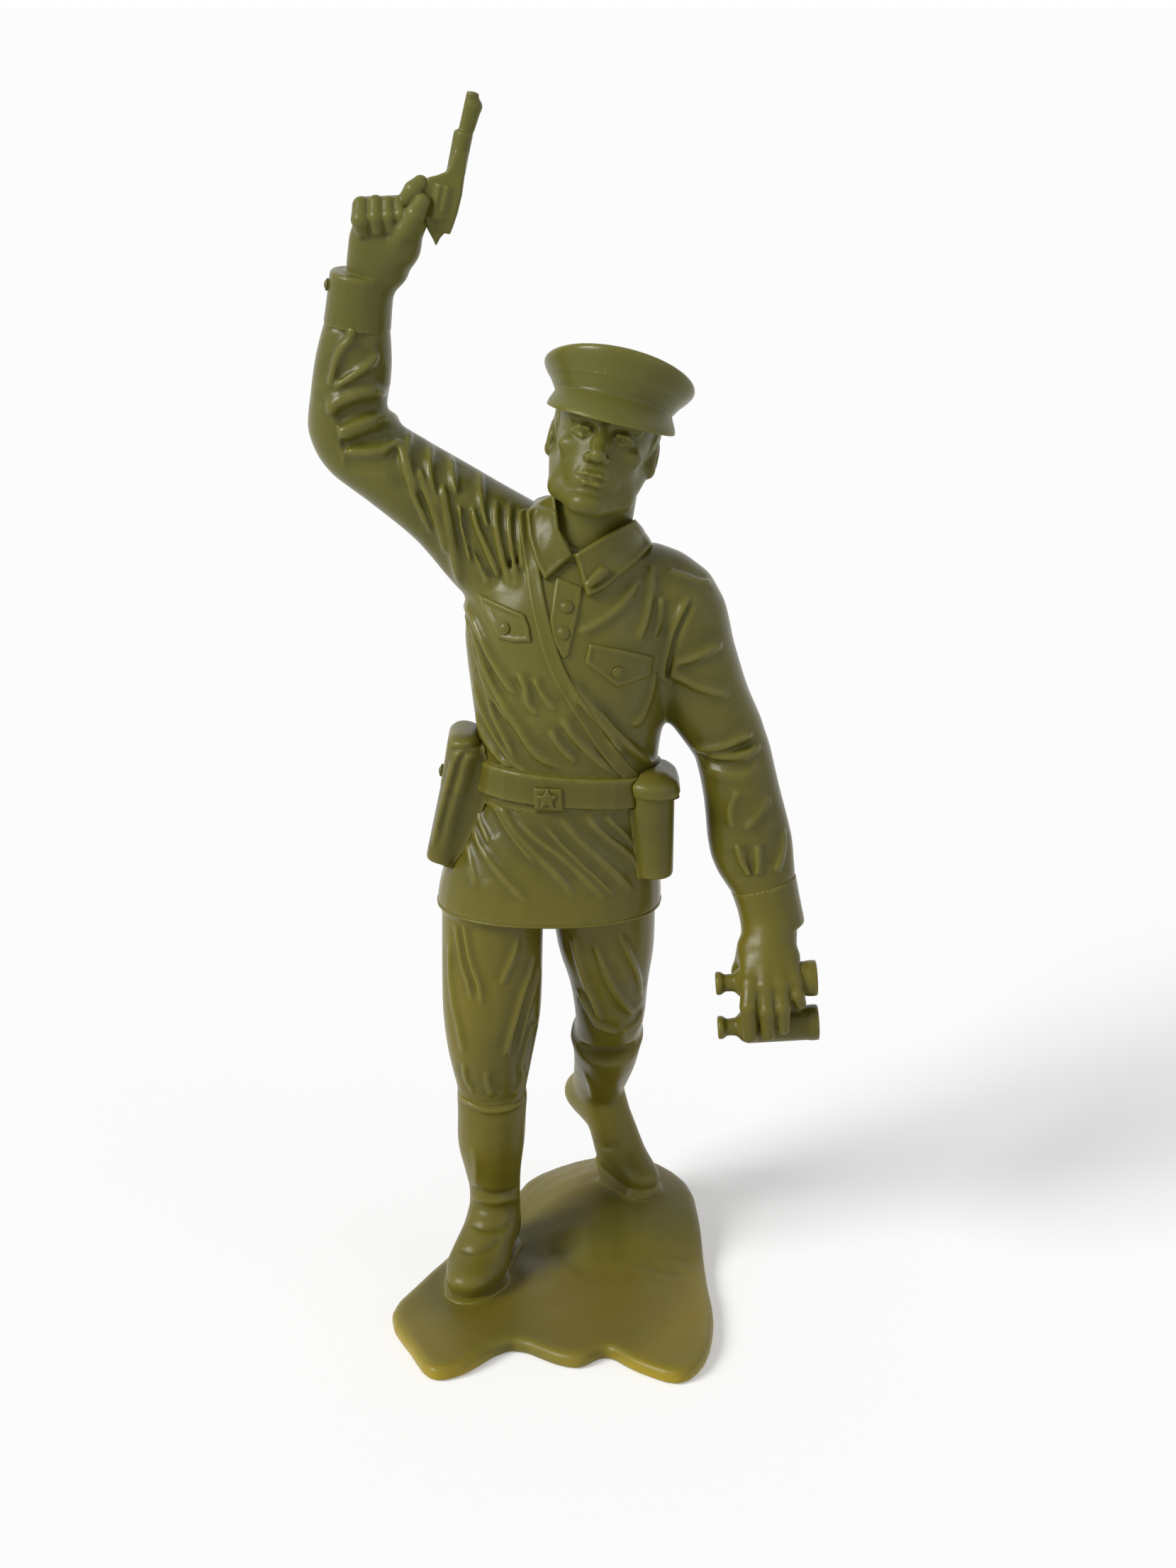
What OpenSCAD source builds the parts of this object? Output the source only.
// Toy soldier: an officer striding forward, revolver raised in one hand and field glasses in the other.
// The toy is one rigid olive moulding, drawn here as the separate things the figure wears and carries.
// Frame: +Z up, the figure faces -Y, its left side is +X, the origin is mid underside of the plate.

/* [Ground plate] */
// Width of the plate from side to side
plate_w = 50; // [46:0.5:62]
// Length of the plate from front to back
plate_len = 64; // [60:0.5:80]
// Thickness of the plate under the front foot
plate_t = 2.5; // [1.5:0.1:5]
// Height of the mound under the rear foot, above the plate
mound_h = 6.6; // [4:0.2:8]

/* [Boots and breeches] */
// Height of the front boot above the plate
boot_h = 31; // [26:0.5:38]
// Thickness of the boot soles
sole_t = 1.2; // [0.8:0.1:2]
// Half width of the boot shaft at its top
boot_top_r = 5.6; // [4.8:0.1:6.4]
// Half width of the boot at the ankle
ankle_r = 4.1; // [3.4:0.1:4.8]
// Length of the front breeches leg from boot top to tunic hem
breeches_len = 30.5; // [26:0.5:38]
// Half width of a breeches leg at the hem
thigh_r = 7.8; // [6.6:0.1:8.4]

/* [Tunic] */
// Length of the skirt from hem to belt
skirt_len = 18; // [14:0.5:24]
// Half width of the skirt at the hem
hem_r = 17.3; // [15.5:0.1:20]
// Height from the underside of the belt to the foot of the neck
torso_len = 39.5; // [35:0.5:46]
// Half width of the waist
waist_r = 13.4; // [12:0.1:15]
// Half width of the chest
chest_r = 15.2; // [14:0.1:17]
// Depth of the chest from its middle to the front
chest_front = 12; // [10.5:0.1:14]
// Width of the waist belt
belt_w = 4.7; // [3.5:0.1:6.5]
// Thickness of the waist belt
belt_t = 0.9; // [0.6:0.1:1.5]
// Side of the belt buckle plate
buckle_w = 4.2; // [3.2:0.1:5]
// Width of the cross strap
strap_w = 2.2; // [1.4:0.1:3]
// Height of the cross strap above the tunic
strap_t = 1; // [0.7:0.1:1.3]
// Width of a chest pocket flap
flap_w = 9.6; // [7:0.1:11]
// Height of a pocket flap above the tunic
flap_t = 0.6; // [0.4:0.1:0.7]
// Diameter of a tunic button
button_d = 1.7; // [1.2:0.1:2.4]

/* [Arms] */
// Length of the right upper arm from shoulder to elbow
right_upper_len = 31.5; // [28:0.5:36]
// Length of the right forearm from elbow to wrist
right_fore_len = 24; // [20:0.5:30]
// Length of the left upper arm from shoulder to elbow
left_upper_len = 24; // [20:0.5:30]
// Length of the left forearm from elbow to wrist
left_fore_len = 30; // [27:0.5:34]
// Half width of a sleeve above the elbow
sleeve_r = 6.6; // [5.8:0.1:7.4]
// Half width of a cuff
cuff_r = 4.6; // [4:0.1:5.2]
// Length of a cuff
cuff_len = 7.2; // [5:0.1:9]

/* [Head and cap] */
// Height of the head from chin to cap
face_h = 15.6; // [13:0.2:18]
// Width of the head at the cheeks
head_w = 14.6; // [13:0.2:16]
// Length of the neck from the tunic to the head
neck_len = 8; // [6:0.2:11]
// Height of the cap band
band_h = 3.8; // [3:0.1:5]
// Half width of the cap crown
crown_r = 11; // [9.6:0.1:12.5]
// Height of the cap crown above the band
crown_h = 4.2; // [3.6:0.1:6]
// How far the visor stands forward
visor_len = 4.4; // [3:0.1:6]

/* [Revolver] */
// Length of the barrel in front of the frame
barrel_len = 11; // [8:0.5:16]
// Diameter of the barrel
barrel_d = 2; // [1.6:0.1:2.6]
// Diameter of the cylinder
cylinder_d = 4.6; // [3.8:0.1:5.4]
// Length of the cylinder
cylinder_len = 6.2; // [5:0.1:7.5]

/* [Field glasses] */
// Length of the two tubes without their eyepieces
tube_len = 11.8; // [9:0.2:15]
// Diameter of each tube
tube_d = 5.5; // [4.6:0.1:6.2]
// Distance between the middles of the two tubes
tube_gap = 7.3; // [6.4:0.1:8.4]
// Length of each eyepiece
eyepiece_len = 3.6; // [2.4:0.1:5]

/* [Hip gear] */
// Height of the holster
holster_h = 20.5; // [17:0.5:24]
// Width of the holster from front to back
holster_w = 10; // [8:0.2:13]
// Height of the field glass case
case_h = 16; // [13:0.5:20]
// Width of the field glass case across its face
case_w = 8; // [7:0.1:9]

/* [Hidden] */
// Sides of a section round the trunk, a limb, and a small part
trunk_sides = 28;
limb_sides = 22;
small_fn = 12;

// Heights of the figure, each built on the one below
sole_top = plate_t + sole_t;
boot_top = plate_t + boot_h;
hem_z = boot_top + breeches_len;
belt_z = hem_z + skirt_len;
belt_top = belt_z + belt_w;
neck_z = belt_z + torso_len;
mound_top = plate_t + mound_h;

// Middle of the mound and its reach on the plate
mound_at = [plate_w * 0.22, plate_len * 0.281];
mound_reach = [20, 23];

// Outline of the plate as shares of its half width and half length, counter-clockwise from the front left
plate_shape = [
    [-1, -0.46], [-0.86, -0.76], [-0.72, -0.97], [-0.52, -0.93], [-0.25, -0.72], [0.02, -0.84],
    [0.18, -0.87], [0.33, -0.78], [0.5, -0.9], [0.76, -1.01], [0.93, -0.84], [1, -0.5],
    [0.98, -0.14], [0.96, 0.3], [0.9, 0.68], [0.6, 0.93], [0.15, 1], [-0.2, 0.86],
    [-0.36, 0.48], [-0.6, 0.22], [-0.84, -0.14]
];

// Middle of the hips, and the upright rows of skirt and tunic: x, y, z, half width, front and back depth
skirt_rows = [
    [-0.5, 2.6, hem_z, hem_r, 13.2, 13],
    [-0.1, 2.5, hem_z + skirt_len * 0.3, hem_r - 0.6, 12.6, 12.4],
    [0.9, 2.2, hem_z + skirt_len * 0.66, mix(hem_r, waist_r, 0.55), 11.4, 11.2],
    [2.2, 1.9, belt_z, waist_r + 0.4, 10.2, 9.9]
];
tunic_rows = [
    [2.2, 1.9, belt_z, waist_r + 0.4, 10.2, 9.9],
    [2.6, 1.6, belt_top, waist_r, 9.8, 9.5],
    [2.6, 1, belt_z + torso_len * 0.33, mix(waist_r, chest_r, 0.4), 10.7, 10],
    [2.5, 0.5, belt_z + torso_len * 0.5, mix(waist_r, chest_r, 0.75), chest_front - 0.4, 10.6],
    [2.5, 0.1, belt_z + torso_len * 0.66, chest_r, chest_front, 11],
    [2.6, 0, belt_z + torso_len * 0.78, chest_r - 0.4, chest_front - 1, 10.6],
    [2.9, 0, belt_z + torso_len * 0.87, chest_r - 2.2, chest_front - 2.4, 9.6],
    [3.3, -0.3, belt_z + torso_len * 0.95, chest_r - 5.4, chest_front - 4.2, 8],
    [3.7, -0.6, neck_z, chest_r - 8.2, 6, 6.4]
];

// Path of each breeches leg: x, y, z, half width, half depth
right_leg_rows = [
    [-9.2, 1.8, hem_z, thigh_r, 8.4],
    [-9.3, 0.6, hem_z - breeches_len * 0.3, thigh_r, 8.2],
    [-9.4, -0.5, hem_z - breeches_len * 0.56, thigh_r - 0.2, 7.8],
    [-9.6, -0.9, hem_z - breeches_len * 0.78, thigh_r - 1.2, 6.8],
    [-9.5, -0.8, boot_top, boot_top_r - 0.4, 5.2]
];
left_knee = [9, 7.6, hem_z - breeches_len * 0.689];
left_boot_top = left_knee + [-0.5, 1.6, -4.6];
left_leg_rows = [
    [7.9, 3.8, hem_z, thigh_r + 0.2, 8.4],
    [8.3, 5, hem_z - breeches_len * 0.262, thigh_r - 0.3, 8.2],
    [8.8, 6.4, hem_z - breeches_len * 0.475, thigh_r - 1.6, 7.4],
    [left_knee.x, left_knee.y, left_knee.z, thigh_r - 2.3, 6.4],
    [left_boot_top.x, left_boot_top.y, left_boot_top.z, boot_top_r - 0.5, 5.2]
];

// Right foot on the plate: middles of heel, ball and toe
right_heel = [-9, 5.4];
right_ball = [-12, -5.6];
right_toe = [-13.1, -9.4];

// Left foot on tiptoe on the mound, and the direction its sole faces
left_ball = [mound_at.x + 0.2, mound_at.y - 0.4, mound_top + 3.6];
left_heel = left_ball + [-6.6, 7.6, 8.6];
left_toe = left_ball + [2.8, -3.4, -2];
left_sole_way = unit([-0.42, 0.5, -0.76]);

// Path of each boot shaft, top to ankle
right_ankle = [-9.4, 2, plate_t + 13];
right_shaft_rows = [
    [-9.5, -0.8, boot_top, boot_top_r, 5.6],
    [-9.6, -0.5, mix(boot_top, right_ankle.z, 0.2), boot_top_r - 0.2, 5.5],
    [-9.8, 0.3, mix(boot_top, right_ankle.z, 0.5), boot_top_r - 0.3, 5.6],
    [-9.6, 1.4, mix(boot_top, right_ankle.z, 0.8), mix(boot_top_r, ankle_r, 0.75), 4.8],
    [right_ankle.x, right_ankle.y, right_ankle.z, ankle_r, 4.5],
    [right_ankle.x, right_ankle.y, right_ankle.z - 4, ankle_r, 4.6]
];
left_ankle = left_heel + [2.6, -3, 2.8];
left_shaft_rows = [
    [left_boot_top.x, left_boot_top.y, left_boot_top.z, boot_top_r, 5.4],
    [8.4, mix(left_boot_top.y, left_ankle.y, 0.3), mix(left_boot_top.z, left_ankle.z, 0.3),
     boot_top_r - 0.4, 5.6],
    [7.9, mix(left_boot_top.y, left_ankle.y, 0.65), mix(left_boot_top.z, left_ankle.z, 0.65),
     boot_top_r - 0.9, 5],
    [left_ankle.x, left_ankle.y, left_ankle.z, ankle_r + 0.1, 4.3]
];

// Shoulders, elbows and wrists
right_shoulder = [-4, 0.5, neck_z - 4.3];
right_elbow = right_shoulder + right_upper_len * unit([-0.803, -0.02, 0.596]);
right_wrist = right_elbow + right_fore_len * unit([0.135, -0.09, 0.986]);
left_shoulder = [17.2, 0.9, neck_z - 10];
left_elbow = left_shoulder + left_upper_len * unit([0.4, 0.06, -0.91]);
left_wrist = left_elbow + left_fore_len * unit([0.24, -0.11, -0.96]);

// Path of each sleeve: x, y, z, half width, half depth
right_arm_rows = [
    row(mix(right_shoulder, right_elbow, -0.14), 9.6, 8.6),
    row(mix(right_shoulder, right_elbow, 0.14), 8.6, 8),
    row(mix(right_shoulder, right_elbow, 0.45) + [0.3, 0, 0.6], sleeve_r + 0.2, 7.1),
    row(mix(right_shoulder, right_elbow, 0.76) + [0.3, 0, 0.4], sleeve_r - 0.6, 6.5),
    row(right_elbow + [0.9, 0, 0.6], sleeve_r - 0.5, 6.2),
    row(mix(right_elbow, right_wrist, 0.24), sleeve_r - 0.9, 5.8),
    row(mix(right_elbow, right_wrist, 0.48), sleeve_r - 1.1, 5.5),
    row(right_wrist - cuff_len * unit(right_wrist - right_elbow), cuff_r + 0.2, cuff_r + 0.2),
    row(right_wrist, cuff_r, cuff_r)
];
left_arm_rows = [
    row(left_shoulder + [-5.5, 0, 2.6], 7.2, 7),
    row(left_shoulder + [0.6, 0, -0.6], 7.6, 7.5),
    row(mix(left_shoulder, left_elbow, 0.36), sleeve_r + 0.2, 7.4),
    row(mix(left_shoulder, left_elbow, 0.7) + [-0.5, 0, 0], sleeve_r - 0.2, 6.9),
    row(left_elbow, sleeve_r - 0.8, 6.4),
    row(mix(left_elbow, left_wrist, 0.25), sleeve_r - 0.8, 6.2),
    row(mix(left_elbow, left_wrist, 0.55) + [-0.5, 0, 0], sleeve_r - 0.2, 6),
    row(left_wrist - cuff_len * unit(left_wrist - left_elbow), cuff_r + 0.5, cuff_r + 0.6),
    row(left_wrist, cuff_r + 0.2, cuff_r + 0.2)
];
right_rings = limb_rings(through(right_arm_rows, 3));
left_rings = limb_rings(through(left_arm_rows, 3));

// The head leans to its left; its own frame has its origin between the eyes' level and the neck
head_lean = 14;
head_at = [7.9, -3.2, neck_z + neck_len + 7.2];
cap_z = face_h - 11.2;

// Frame of the revolver: the barrel points up and leans to the figure's left
revolver_at = right_wrist + [10.9, -4, 6.2];
revolver_lean = 14;

// Frame of the field glasses under the left hand
glasses_at = left_wrist + [-5.4, -5.4, -10.2];
tube_r = tube_d / 2;

// Where the holster and the case hang on the belt
holster_at = [2.4 - waist_r - 1.4, 0.8, belt_top + 5.4];
case_at = [2.4 + waist_r - 1, -1.4, belt_top];

// Colours, all shades of the one olive plastic
olive = [0.40, 0.39, 0.14];
olive_light = [0.46, 0.44, 0.17];
olive_dark = [0.33, 0.32, 0.11];

function unit(v) = v / norm(v);
function mix(a, b, t) = a + (b - a) * t;
function row(p, a, b) = [p.x, p.y, p.z, a, b];

// A smooth run of rows through the given ones, n steps between each two
function catmull(a, b, c, d, t) =
    (2 * b + (c - a) * t + (2 * a - 5 * b + 4 * c - d) * t * t + (3 * b - a - 3 * c + d) * t * t * t) / 2;
function through(rows, n) = let (last = len(rows) - 1) [
    for (i = [0:last - 1], k = [0:n - 1])
        catmull(rows[max(i - 1, 0)], rows[i], rows[i + 1], rows[min(i + 2, last)], k / n),
    rows[last]
];
function closed_through(points, n) = let (m = len(points)) [
    for (i = [0:m - 1], k = [0:n - 1])
        catmull(points[(i + m - 1) % m], points[i], points[(i + 1) % m], points[(i + 2) % m], k / n)
];

// A rounded section with its own depth in front and behind
function section(a, front, back, sides, square) = [
    for (i = [0:sides - 1])
        let (c = cos(360 * i / sides), s = sin(360 * i / sides))
        [a * sign(c) * pow(abs(c), 2 / square), (s < 0 ? front : back) * sign(s) * pow(abs(s), 2 / square)]
];

// Rings of an upright body, and of a limb whose sections stand square to its path
function upright_rings(rows, grow = 0) = [
    for (r = rows)
        [for (p = section(r[3] + grow, r[4] + grow, r[5] + grow, trunk_sides, 2.3))
            [r.x + p.x, r.y + p.y, r.z]]
];
function place(r) = [r[0], r[1], r[2]];
function limb_rings(rows) = let (last = len(rows) - 1) [
    for (i = [0:last])
        let (
            way = unit(place(rows[min(i + 1, last)]) - place(rows[max(i - 1, 0)])),
            side = unit(cross([0, 1, 0], way)),
            up = cross(way, side)
        )
        [
            for (p = section(rows[i][3], rows[i][4], rows[i][4], limb_sides, 2.1))
                place(rows[i]) + side * p.x + up * p.y
        ]
];
function slice(list, from, to) = [for (i = [from:to]) list[i]];

// Height of the ground at a point of the plate
function mound_share(x, y) =
    let (d = norm([(x - mound_at.x) / mound_reach.x, (y - mound_at.y) / mound_reach.y]))
    d < 1 ? pow(1 - d * d, 1.5) : 0;
function ground_z(x, y) = plate_t + mound_h * mound_share(x, y);

// Skin through a stack of rings, closed at both ends by a fan from the middle of the end ring
function middle(ring) = [for (p = ring) 1] * ring / len(ring);
module loft(rings) {
    sides = len(rings[0]);
    last = len(rings) - 1;
    foot = sides * (last + 1);
    polyhedron(
        points = concat([for (ring = rings) each ring], [middle(rings[0]), middle(rings[last])]),
        faces = [
            for (i = [0:sides - 1])
                let (j = (i + 1) % sides, top = last * sides)
                each concat(
                    [[foot, i, j], [foot + 1, top + j, top + i]],
                    [
                        for (r = [0:last - 1])
                            let (a = r * sides, b = a + sides)
                            each [[a + i, b + i, b + j], [a + i, b + j, a + j]]
                    ]
                )
        ],
        convexity = 6
    );
}

// Zero sizes leave the shape as it is; its parts become one faceted body
module moulded() {
    resize([0, 0, 0]) children();
}

module ball(at, size) {
    translate(at) scale(size) sphere(1, $fn = 14);
}

// Rounded rod through a list of points, thick as the list of radii says
module rod(points, radii) {
    for (i = [0:len(points) - 2])
        hull() {
            translate(points[i]) sphere(radii[i], $fn = small_fn);
            translate(points[i + 1]) sphere(radii[i + 1], $fn = small_fn);
        }
}

// Round pad lying square to a direction
module pad(at, way, r, t) {
    translate(at) rotate([0, acos(way.z), atan2(way.y, way.x)]) cylinder(h = t, r = r, $fn = small_fn);
}

// The trunk as one shape, for cutting what lies on it
module trunk(grow = 0) {
    loft(upright_rings(through(skirt_rows, 3), grow));
    loft(upright_rings(through(tunic_rows, 3), grow));
}

module in_head() {
    translate(head_at) rotate([0, head_lean, 0]) children();
}

module ground_plate() {
    outline = [for (p = closed_through(plate_shape, 3)) [p.x * plate_w / 2, p.y * plate_len / 2]];
    edge = plate_t * 0.4;
    steps = [0.97, 0.9, 0.78, 0.64, 0.5, 0.36, 0.22];
    color(olive) union() {
        linear_extrude(edge) polygon(outline);
        loft(concat(
            [[for (p = outline) [p.x, p.y, edge]]],
            [[for (p = outline) [p.x * 0.995, p.y * 0.995, mix(edge, ground_z(p.x, p.y), 0.75)]]],
            [for (s = steps) [for (p = outline) [p.x * s, p.y * s, ground_z(p.x * s, p.y * s)]]],
            [[for (p = outline) [p.x * 0.08, p.y * 0.08, ground_z(0, 0)]]]
        ));
    }
}

module right_boot_sole() {
    color(olive_dark) translate([0, 0, plate_t]) linear_extrude(sole_t) union() {
        hull() {
            translate(right_heel) circle(r = 4, $fn = 32);
            translate(right_ball) circle(r = 4.6, $fn = 32);
        }
        hull() {
            translate(right_ball) circle(r = 5.6, $fn = 32);
            translate(right_toe) circle(r = 4.3, $fn = 32);
        }
    }
}

module right_boot() {
    instep = mix(right_heel, right_ball, 0.5);
    color(olive) moulded() difference() {
        union() {
            loft(limb_rings(through(right_shaft_rows, 3)));
            hull() {
                ball([right_heel.x, right_heel.y - 0.4, plate_t + 4.4], [3.8, 3.8, 4.2]);
                ball([right_ankle.x, right_ankle.y, right_ankle.z - 3.4], [4.1, 4.7, 3.2]);
                ball([instep.x, instep.y, plate_t + 5], [4.4, 4, 4.4]);
            }
            hull() {
                ball([right_ankle.x, right_ankle.y - 1.6, right_ankle.z - 4], [3.9, 3, 2.6]);
                ball([instep.x, instep.y, plate_t + 5], [4.4, 4, 4.4]);
                ball([right_ball.x, right_ball.y, plate_t + 3], [5.1, 4, 3.3]);
            }
            hull() {
                ball([right_ball.x, right_ball.y, plate_t + 3], [5.1, 4, 3.3]);
                ball([right_toe.x, right_toe.y, plate_t + 2.6], [3.9, 3.6, 2.3]);
            }
        }
        translate([right_ball.x - 20, right_ball.y - 20, sole_top - 20]) cube([40, 50, 20]);
    }
}

// The rear sole as a plate of a given thickness under the foot
module left_sole_plate(t) {
    waist = mix(left_heel, left_ball, 0.5);
    hull() {
        pad(left_heel + left_sole_way * 2.2, left_sole_way, 3.3, t);
        pad(waist + left_sole_way * 2.3, left_sole_way, 3.3, t);
    }
    hull() {
        pad(waist + left_sole_way * 2.3, left_sole_way, 3.3, t);
        pad(left_ball + left_sole_way * 2.4, left_sole_way, 4.4, t);
    }
    hull() {
        pad(left_ball + left_sole_way * 2.4, left_sole_way, 4.4, t);
        pad(left_toe + [0, 0, -1], [0, 0, -1], 3.8, t);
    }
}

module left_boot_sole() {
    color(olive_dark) moulded() difference() {
        left_sole_plate(sole_t);
        ground_plate();
    }
}

module left_boot() {
    color(olive) moulded() difference() {
        union() {
            loft(limb_rings(through(left_shaft_rows, 3)));
            hull() {
                ball(left_heel, [3.2, 3.2, 3.4]);
                ball(left_ankle + [0.1, 0.1, -0.2], [4, 4.1, 3.8]);
                ball(mix(left_ankle, left_ball, 0.45), [3.8, 3.8, 3.6]);
            }
            hull() {
                ball(mix(left_ankle, left_ball, 0.45), [3.8, 3.8, 3.6]);
                ball(left_ball, [4.3, 4, 3.4]);
            }
            hull() {
                ball(left_ball, [4.3, 4, 3.4]);
                ball(left_toe, [3.6, 3.4, 2.6]);
            }
        }
        left_sole_plate(6);
        ground_plate();
    }
}

module right_breeches_leg() {
    color(olive_light) loft(upright_leg(right_leg_rows));
}

module left_breeches_leg() {
    color(olive_light) moulded() difference() {
        loft(upright_leg(left_leg_rows));
        right_breeches_leg();
        left_boot();
    }
}

// Rings of a breeches leg lie level, so the leg meets the hem and the boot face to face
function upright_leg(rows) = [
    for (r = through(rows, 3))
        [for (p = section(r[3], r[4], r[4], limb_sides, 2.2)) [r.x + p.x, r.y + p.y, r.z]]
];

module tunic_skirt() {
    color(olive_light) loft(upright_rings(through(skirt_rows, 3)));
}

module tunic_body() {
    color(olive_light) loft(upright_rings(through(tunic_rows, 3)));
}

module waist_belt() {
    rows = [for (r = slice(through(tunic_rows, 6), 0, 6)) r];
    color(olive) moulded() difference() {
        loft(upright_rings(rows, belt_t));
        trunk();
    }
}

// Front of the tunic at a height, as the y of its skin at a given x
function tunic_row(z) = lookup_row(through(tunic_rows, 6), z);
function lookup_row(rows, z) = [for (k = [0:5]) lookup(z, [for (r = rows) [r.z, r[k]]])];
function front_y(x, z) =
    let (r = tunic_row(z), u = min(abs(x - r.x) / r[3], 0.999))
    r.y - r[4] * pow(1 - pow(u, 2.3), 1 / 2.3);
function on_front(x, z) = [x, front_y(x, z), z];

// Outward direction of the tunic front
function front_way(x, z) = unit([
    front_y(x + 0.4, z) - front_y(x - 0.4, z), -1, front_y(x, z + 0.4) - front_y(x, z - 0.4)
]);

// Ring across a band that lies on the tunic front, from its low edge to its high edge along a direction
function band_ring(x, z, across, low, high, t) = let (n = front_way(x, z), sink = 0.8) [
    for (k = [[high, -sink], [high, t], [mix(low, high, 0.5), t],
              [low, t], [low, -sink], [mix(low, high, 0.5), -sink]])
        on_front(x + across.x * k[0], z + across.y * k[0]) + n * k[1]
];

// A ribbon along x, z points; its sunk underside is cut away by the tunic
module front_ribbon(line, w, t) {
    last = len(line) - 1;
    loft([
        for (i = [0:last])
            let (way = unit(line[min(i + 1, last)] - line[max(i - 1, 0)]))
            band_ring(line[i].x, line[i].y, [-way.y, way.x], -w / 2, w / 2, t)
    ]);
}

module button_placket() {
    line = [for (k = [0:6]) [mix(2.4, 2, k / 6), mix(neck_z - 3.6, belt_z + torso_len * 0.52, k / 6)]];
    color(olive) moulded() difference() {
        front_ribbon(line, 3.4, 0.4);
        tunic_body();
        cross_strap();
    }
}

module front_button(x, z, lift, d) {
    pad(on_front(x, z) + front_way(x, z) * (lift - 0.6), front_way(x, z), d / 2, 1.2);
}

module tunic_buttons() {
    color(olive_dark) moulded() difference() {
        for (z = [neck_z - 8, neck_z - 12.5])
            front_button(3.4, z, 0.4, button_d);
        tunic_body();
        button_placket();
    }
}

// A pocket flap with a pointed lower edge
module pocket_flap(x, z, w, h, tilt) {
    loft([
        for (i = [0:8])
            let (u = i / 8 - 0.5)
            band_ring(x + w * u, z - w * u * tilt, [0, 1], -h * (1 - 0.56 * abs(u)), 0, flap_t)
    ]);
}
right_flap_at = [-7, belt_z + torso_len * 0.8];
left_flap_at = [10.6, belt_z + torso_len * 0.66];

module right_pocket_flap() {
    color(olive) moulded() difference() {
        pocket_flap(right_flap_at.x, right_flap_at.y, flap_w * 0.78, 5.4, 0.28);
        tunic_body();
        right_sleeve_shape();
        cross_strap();
    }
}

module left_pocket_flap() {
    color(olive) moulded() difference() {
        pocket_flap(left_flap_at.x, left_flap_at.y, flap_w, 6.4, 0.05);
        tunic_body();
        left_sleeve_shape();
        cross_strap();
    }
}

module pocket_buttons() {
    color(olive_dark) moulded() difference() {
        for (at = [right_flap_at + [0.6, -3.6], left_flap_at + [0.2, -4.6]])
            front_button(at.x, at.y, flap_t, button_d);
        right_pocket_flap();
        left_pocket_flap();
        tunic_body();
    }
}

module cross_strap() {
    line = through([
        [-3.2, neck_z - torso_len * 0.111], [-2.3, neck_z - torso_len * 0.203],
        [-0.8, neck_z - torso_len * 0.316], [2, neck_z - torso_len * 0.481],
        [6, neck_z - torso_len * 0.658], [10.6, belt_top + 0.5]
    ], 3);
    color(olive_dark) moulded() difference() {
        front_ribbon(line, strap_w, strap_t);
        tunic_body();
        waist_belt();
        shirt_collar();
        right_sleeve_shape();
    }
}

module belt_buckle() {
    color(olive_dark) moulded() difference() {
        translate(on_front(-0.6, belt_z + belt_w / 2) + [0, -belt_t, 0])
            cube([buckle_w, 1.6, buckle_w], center = true);
        waist_belt();
        trunk();
    }
}

module buckle_star() {
    tip = buckle_w * 0.4;
    color(olive_light) moulded() difference() {
        translate(on_front(-0.6, belt_z + belt_w / 2) + [0, -belt_t - 0.7, 0]) rotate([90, 0, 0])
            linear_extrude(0.5)
                polygon([for (k = [0:9]) (k % 2 == 0 ? tip : tip * 0.42) * [sin(36 * k), cos(36 * k)]]);
        belt_buckle();
    }
}

// Rows round the neck; the collar stands on the outer ones, lower in front than behind
neck_rows = [
    [3.4, -0.4, neck_z - 3, 7.4, 6.8, 7],
    [3.8, -0.5, neck_z - 0.6, 7.2, 6.6, 6.8],
    [4.7, -0.7, neck_z + 2.2, 6.8, 5.9, 6.4],
    [5.9, -0.9, neck_z + 5, 6.1, 5.4, 6],
    [7, -1.6, neck_z + neck_len + 2, 5.6, 5, 5.8]
];
function dip(rings, low, high) = [
    for (ring = rings)
        [for (p = ring) p + [0, 0, 0.32 * p.y * min(max((p.z - low) / (high - low), 0), 1)]]
];

// The collar leans to the figure's left, with its two points turned down in front
module shirt_collar() {
    rows = [for (r = slice(neck_rows, 0, 3)) r + [0, 0, 0, 1.3, 1.3, 1.3]];
    color(olive) moulded() difference() {
        union() {
            loft(dip(upright_rings(through(rows, 2)), neck_z - 2, neck_z + 5));
            collar_wing([[0.8, -6.4, 3.6], [3, -8.2, -0.4], [-0.5, -11, -3.6], [-3.4, -6, 2.4]]);
            collar_wing([[11.6, -5, 2.2], [4.2, -8.2, -0.6], [5.4, -11.2, -5.6], [11.4, -7.4, -1]]);
        }
        loft(upright_rings(through(neck_rows, 2)));
        tunic_body();
        right_sleeve_shape();
        left_sleeve_shape();
    }
}

// One turned-down wing through corners given from the foot of the neck
module collar_wing(corners) {
    hull()
        for (p = corners)
            translate([p.x, p.y, neck_z + p.z]) sphere(0.7, $fn = 10);
}

module collar_tab() {
    color(olive_light) moulded() difference() {
        hull() {
            translate([5.6, -10.8, neck_z - 4.6]) sphere(0.9, $fn = small_fn);
            translate([7.6, -10, neck_z - 2.8]) sphere(0.9, $fn = small_fn);
        }
        shirt_collar();
        tunic_body();
    }
}

// The plain upper sleeves, which also cut what lies against them
module right_sleeve_shape() {
    loft(slice(right_rings, 0, 12));
}

module left_sleeve_shape() {
    loft(slice(left_rings, 0, 12));
}

module right_upper_sleeve() {
    color(olive_light) moulded() difference() {
        right_sleeve_shape();
        tunic_body();
    }
}

module right_forearm_sleeve() {
    color(olive_light) loft(slice(right_rings, 12, 21));
}

module left_upper_sleeve() {
    color(olive_light) moulded() difference() {
        left_sleeve_shape();
        tunic_body();
    }
}

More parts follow.
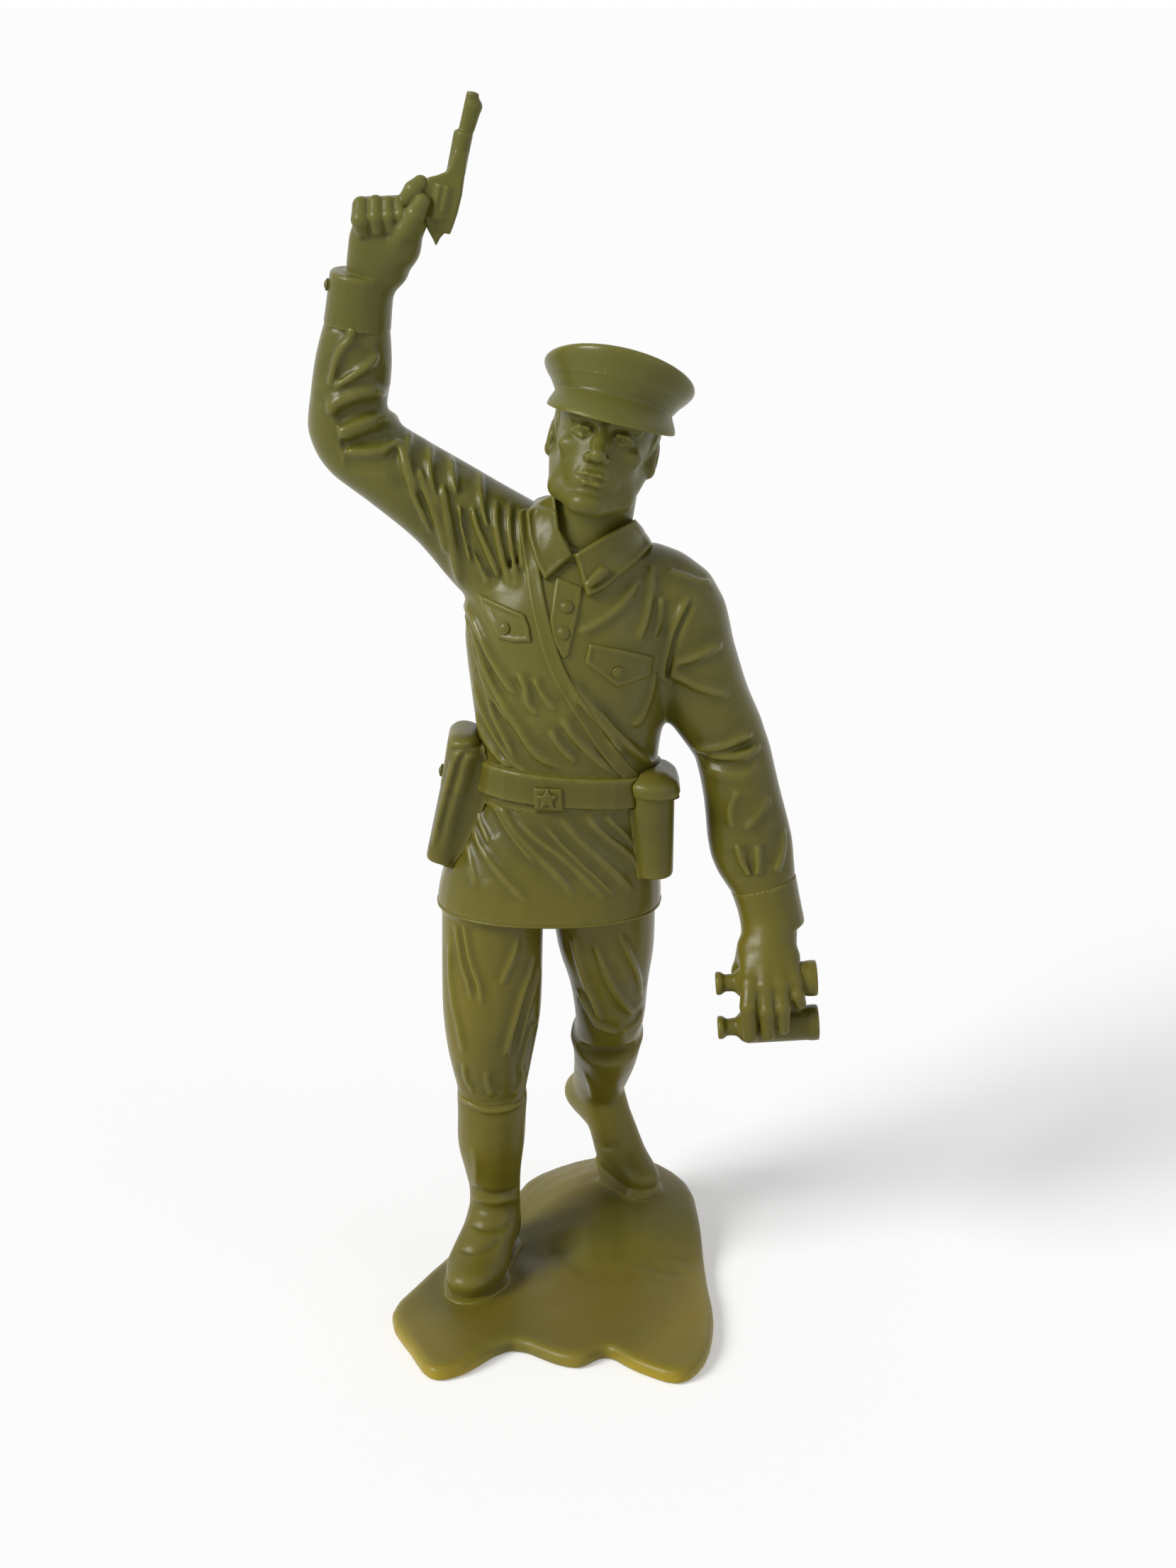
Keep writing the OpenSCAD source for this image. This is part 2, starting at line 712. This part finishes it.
module left_forearm_sleeve() {
    color(olive_light) loft(slice(left_rings, 12, 21));
}

module right_cuff() {
    color(olive) loft(slice(right_rings, 21, 24));
}

module left_cuff() {
    color(olive) loft(slice(left_rings, 21, 24));
}

module cuff_button() {
    color(olive_dark) moulded() difference() {
        translate(right_wrist + [-cuff_r, -0.6, -1.6]) sphere(d = button_d, $fn = small_fn);
        right_cuff();
    }
}

module neck() {
    color(olive) moulded() difference() {
        loft(upright_rings(through(neck_rows, 2)));
        tunic_body();
        head();
        right_sleeve_shape();
    }
}

module head() {
    half = head_w / 2;
    rows = [
        [0, -5.2, -11.2, 2.4, 2.4, 2.6],
        [0, -3.6, -10.4, 3.9, 4.4, 5],
        [0, -1.4, -8, half - 1.4, 6.8, 7],
        [0, 0, -4.6, half - 0.5, 7.9, 8],
        [0, 0.4, -1, half, 7.9, 8.6],
        [0, 0.4, 2, half + 0.2, 8.2, 8.8],
        [0, 0.4, cap_z, half + 0.2, 8.2, 8.8]
    ];
    color(olive_light) moulded() in_head() difference() {
        union() {
            loft(upright_rings(through(rows, 3)));
            hull() {
                ball([0, -7.9, 1.4], [0.9, 0.7, 0.8]);
                ball([0, -9.2, -3.2], [1.1, 1, 0.9]);
                ball([0, -7.4, -3.8], [1.9, 1.1, 0.8]);
            }
            for (s = [-1, 1]) {
                ball([s * 3.1, -7.52, 2.12], [2.6, 0.9, 0.8]);
                hull() {
                    ball([s * (half + 0.27), 0.37, 0.61], [0.8, 1.5, 1.6]);
                    ball([s * (half + 0.05), -0.37, -2.95], [0.7, 0.9, 1]);
                }
            }
            ball([0, -8, -9.62], [2.3, 1.3, 1.3]);
        }
        ball([0, -8.9, -7.02], [2.5, 1.6, 1.2]);
        for (s = [-1, 1])
            ball([s * 3.13, -8.8, 0.09], [1.9, 1.5, 0.9]);
        translate([-30, -30, cap_z]) cube([60, 60, 10]);
    }
}

module cap_band() {
    half = head_w / 2 + 0.9;
    color(olive) in_head() loft(upright_rings([
        [0, 0.4, cap_z, half, 8.9, 9.4],
        [0, 0.4, cap_z + band_h * 0.5, half + 0.15, 9, 9.5],
        [0, 0.4, cap_z + band_h, half + 0.1, 9, 9.4]
    ]));
}

// The crown's front stands higher than its back
module cap_crown() {
    base_z = cap_z + band_h;
    half = head_w / 2 + 1;
    rise = 0.33;
    rows = through([
        [0, 0.4, base_z, half, 9, 9.4],
        [-0.1, 0.2, base_z + crown_h * 0.3, mix(half, crown_r, 0.5), 10.3, 10.4],
        [-0.2, 0, base_z + crown_h * 0.6, crown_r, 11.8, 11.4],
        [-0.2, 0, base_z + crown_h * 0.78, crown_r - 0.4, 11.5, 11],
        [-0.2, 0, base_z + crown_h * 0.94, crown_r - 3, 8.6, 8.4],
        [-0.2, 0, base_z + crown_h, 3, 3, 3]
    ], 2);
    color(olive_light) in_head() loft([
        for (ring = upright_rings(rows))
            [for (p = ring) p - [0, 0, rise * p.y * min((p.z - base_z) / (crown_h * 0.6), 1)]]
    ]);
}

// The visor is a bowed plate under the front of the band
module cap_visor() {
    half = head_w / 2 + 0.9;
    drop = visor_len * 0.4;
    color(olive_dark) moulded() difference() {
        in_head() difference() {
            union()
                for (i = [0:7])
                    hull()
                        for (k = [0, 1]) {
                            a = 200 + (i + k) * 17.5;
                            reach = visor_len * pow(sin((i + k) * 22.5), 0.7);
                            translate([half * cos(a), 0.4 + 8.6 * sin(a), cap_z - 0.2])
                                sphere(0.55, $fn = 10);
                            translate([(half + reach * 0.35) * cos(a), 0.4 + (8.9 + reach) * sin(a),
                                cap_z - 0.2 - drop * pow(sin((i + k) * 22.5), 0.8)]) sphere(0.5, $fn = 10);
                        }
            translate([-30, -30, cap_z]) cube([60, 60, 10]);
        }
        head();
    }
}

// Revolver: own frame with the barrel along +Z and the grip along -X
module in_revolver() {
    translate(revolver_at) rotate([0, revolver_lean, 0]) children();
}

frame_top = cylinder_len + 1.6;

module revolver_frame() {
    color(olive_dark) moulded() in_revolver() difference() {
        union() {
            hull() {
                translate([-1.6, -1.3, -1.4]) cube([3.6, 2.6, 1.6]);
                translate([1.2, -1, 0]) cube([1.5, 2, frame_top]);
            }
            translate([-2, -1.2, cylinder_len + 0.2]) cube([4.2, 2.4, frame_top - cylinder_len - 0.2]);
            hull() {
                translate([-0.6, 0, -0.2]) sphere(1.5, $fn = small_fn);
                translate([-11.4, 0, -1]) sphere(2, $fn = small_fn);
            }
            hull()
                for (at = [[-1.8, frame_top - 1.2], [-4, cylinder_len - 0.2], [-4.4, 2.8], [-2.4, 0.4]])
                    translate([at.x, 0, at.y]) sphere(0.7, $fn = small_fn);
            rod([[0.4, 0, -0.6], [0.2, 0, -2.2], [0.6, 0, -3]], [0.9, 0.7, 0.45]);
        }
        translate([0, 0, -0.02]) cylinder(h = cylinder_len + 0.2, d = cylinder_d, $fn = 24);
    }
}

module revolver_cylinder() {
    color(olive) in_revolver() difference() {
        cylinder(h = cylinder_len + 0.16, d = cylinder_d, $fn = 24);
        for (k = [0:5])
            rotate(60 * k) translate([cylinder_d / 2 + 0.25, 0, 1.4])
                cylinder(h = cylinder_len, d = 1.1, $fn = 12);
    }
}

module revolver_barrel() {
    color(olive_dark) in_revolver() translate([0, 0, frame_top]) union() {
        cylinder(h = barrel_len, d = barrel_d, $fn = 20);
        translate([-0.9, 0, 0]) cylinder(h = barrel_len * 0.55, d = barrel_d * 0.7, $fn = 16);
        translate([0.2, -0.35, barrel_len - 1.8]) cube([1.3, 0.7, 1.4]);
    }
}

// The right fist: palm behind the grip, four fingers over it, thumb up the near side
module right_hand() {
    grip = revolver_at + [-7.7, 0, 1.7];
    palm = mix(right_wrist, grip, 0.55) + [0.2, 1.2, 0];
    color(olive_light) moulded() difference() {
        union() {
            hull() {
                ball(right_wrist + [1, 0, 0.2], [3.2, 2.9, 0.8]);
                ball(palm, [3.9, 2.6, 2.6]);
            }
            hull() {
                ball(palm, [3.9, 2.6, 2.6]);
                ball(grip + [0, 2.2, 0], [4, 1.6, 2.4]);
            }
            for (k = [0:3])
                translate(grip + [-2.9 + 1.95 * k, 0, 0.25 * k - 0.3])
                    rod([[0, 2.4, 0.8], [0, 0.6, 2.4], [0, -1.9, 2], [0, -2.7, 0], [0, -1.7, -1.5]],
                        [1.25, 1.2, 1.15, 1.1, 1.05]);
            rod([right_wrist + [1.8, -1, 1.6], revolver_at + [-6.4, -1.8, -4],
                 revolver_at + [-4.4, -2.6, -0.8],
                revolver_at + [-3.2, -2.6, 2.6]], [2, 2, 1.5, 1.15]);
        }
        right_cuff();
        revolver_frame();
        revolver_cylinder();
    }
}

// The left hand lies over the field glasses with its fingers hanging down
module left_hand() {
    back = left_wrist + [0, -5, -2.8];
    knuckle = left_wrist + [0.2, -8.6, -7.2];
    color(olive_light) moulded() difference() {
        union() {
            hull() {
                ball(left_wrist + [0, 0, -0.2], [3.8, 3, 0.8]);
                ball(back, [4.3, 2.3, 2.4]);
            }
            hull() {
                ball(back, [4.3, 2.3, 2.4]);
                ball(knuckle, [4.8, 1.7, 2]);
            }
            for (k = [0:3])
                translate(knuckle + [-3.6 + 2.4 * k, 0, 0]) {
                    reach = k == 3 ? 4.4 : 6.6 - 0.3 * k;
                    rod([[0, -0.2, 0.4], [0, -1.1, -2.4], [0, -0.9, -reach]], [1.4, 1.35, 1.15]);
                }
            rod([left_wrist + [-3, 0, -1.6], left_wrist + [-4.2, -0.4, -5], left_wrist + [-3.6, -1, -8.6]],
                [1.8, 1.5, 1.25]);
        }
        left_cuff();
        binocular_barrels();
        binocular_bridge();
    }
}

// Field glasses: own frame with the tubes along +X and the lower tube below the upper one
module in_glasses() {
    translate(glasses_at) rotate([0, -3.5, 0]) children();
}

module binocular_barrels() {
    color(olive_dark) in_glasses()
        for (z = [-1, 1] * tube_gap / 2)
            translate([0, 0, z]) rotate([0, 90, 0]) rotate_extrude($fn = 28) polygon([
                [0, -eyepiece_len], [1.8, -eyepiece_len],
                [1.8, -eyepiece_len + 0.8], [1.3, -eyepiece_len + 1.4],
                [1.4, -0.8], [tube_r - 0.5, 0], [tube_r - 0.1, 0.8], [tube_r - 0.1, tube_len - 1.6],
                [tube_r, tube_len - 1.4], [tube_r, tube_len], [0, tube_len]
            ]);
}

module binocular_bridge() {
    color(olive_dark) moulded() difference() {
        in_glasses() hull()
            for (x = [3, 8])
                translate([x, 0, 0]) cube([2, 2.6, tube_gap * 0.8], center = true);
        binocular_barrels();
    }
}

// Holster on the right hip, slanting with the flare of the skirt
module in_holster() {
    translate(holster_at) rotate([0, 14, 0]) children();
}

module holster_shape(grow, from, to) {
    hull() {
        for (y = [-1, 1])
            translate([0, y * (holster_w / 2 - 2), -from]) cylinder(h = 0.1, r = 2.3 + grow, $fn = 24);
        for (y = [-1, 1])
            translate([0.2, y * (holster_w / 2 - 3) - 1, -to]) cylinder(h = 0.1, r = 1.9 + grow, $fn = 24);
    }
}

module holster_body() {
    color(olive_dark) moulded() difference() {
        in_holster() holster_shape(0, 1.5, holster_h);
        trunk();
        waist_belt();
        right_breeches_leg();
    }
}

module holster_flap() {
    color(olive) moulded() difference() {
        in_holster() union() {
            holster_shape(0.5, 1.4, holster_h * 0.42);
            hull() {
                for (y = [-1, 1])
                    ball([0, y * (holster_w / 2 - 2), -1.4], [2.7, 2.7, 1.6]);
            }
        }
        in_holster() holster_shape(0, 1.5, holster_h);
        trunk();
        waist_belt();
        right_sleeve_shape();
    }
}

module holster_stud() {
    color(olive_light) moulded() difference() {
        in_holster() translate([-2.7, -1, -holster_h * 0.34]) sphere(d = button_d, $fn = small_fn);
        in_holster() holster_shape(0.5, 1.4, holster_h * 0.42);
    }
}

// Case for the field glasses on the left hip: two lobes, one behind the other
module case_lobes(half, from, to, shrink) {
    hull()
        for (y = [-1, 1]) {
            translate([0, y * half * 0.8, from]) cylinder(h = 0.1, r = half, $fn = 28);
            translate([0.6, y * half * 0.8, to]) cylinder(h = 0.1, r = half - shrink, $fn = 28);
        }
}

module case_body() {
    color(olive_dark) moulded() difference() {
        translate(case_at) case_lobes(case_w / 2 - 0.4, -3.1, -case_h, 0.7);
        trunk();
        waist_belt();
    }
}

module case_lid() {
    color(olive) moulded() difference() {
        translate(case_at) hull() {
            case_lobes(case_w / 2, -1.2, -3, 0);
            for (y = [-1, 1])
                ball([-0.2, y * case_w * 0.4, -1], [case_w / 2 - 0.6, case_w / 2 - 0.6, 1.8]);
        }
        trunk();
        waist_belt();
        left_sleeve_shape();
        cross_strap();
    }
}

module case_stud() {
    color(olive_light) moulded() difference() {
        translate(case_at + [case_w / 2 - 0.1, -case_w * 0.4, -7.6]) sphere(d = button_d, $fn = small_fn);
        case_body();
    }
}

ground_plate();
right_boot_sole();
right_boot();
left_boot_sole();
left_boot();
right_breeches_leg();
left_breeches_leg();
tunic_skirt();
tunic_body();
waist_belt();
belt_buckle();
buckle_star();
button_placket();
tunic_buttons();
right_pocket_flap();
left_pocket_flap();
pocket_buttons();
cross_strap();
shirt_collar();
collar_tab();
right_upper_sleeve();
right_forearm_sleeve();
right_cuff();
right_hand();
left_upper_sleeve();
left_forearm_sleeve();
left_cuff();
left_hand();
cuff_button();
neck();
head();
cap_visor();
cap_band();
cap_crown();
revolver_frame();
revolver_cylinder();
revolver_barrel();
binocular_barrels();
binocular_bridge();
holster_body();
holster_flap();
holster_stud();
case_body();
case_lid();
case_stud();
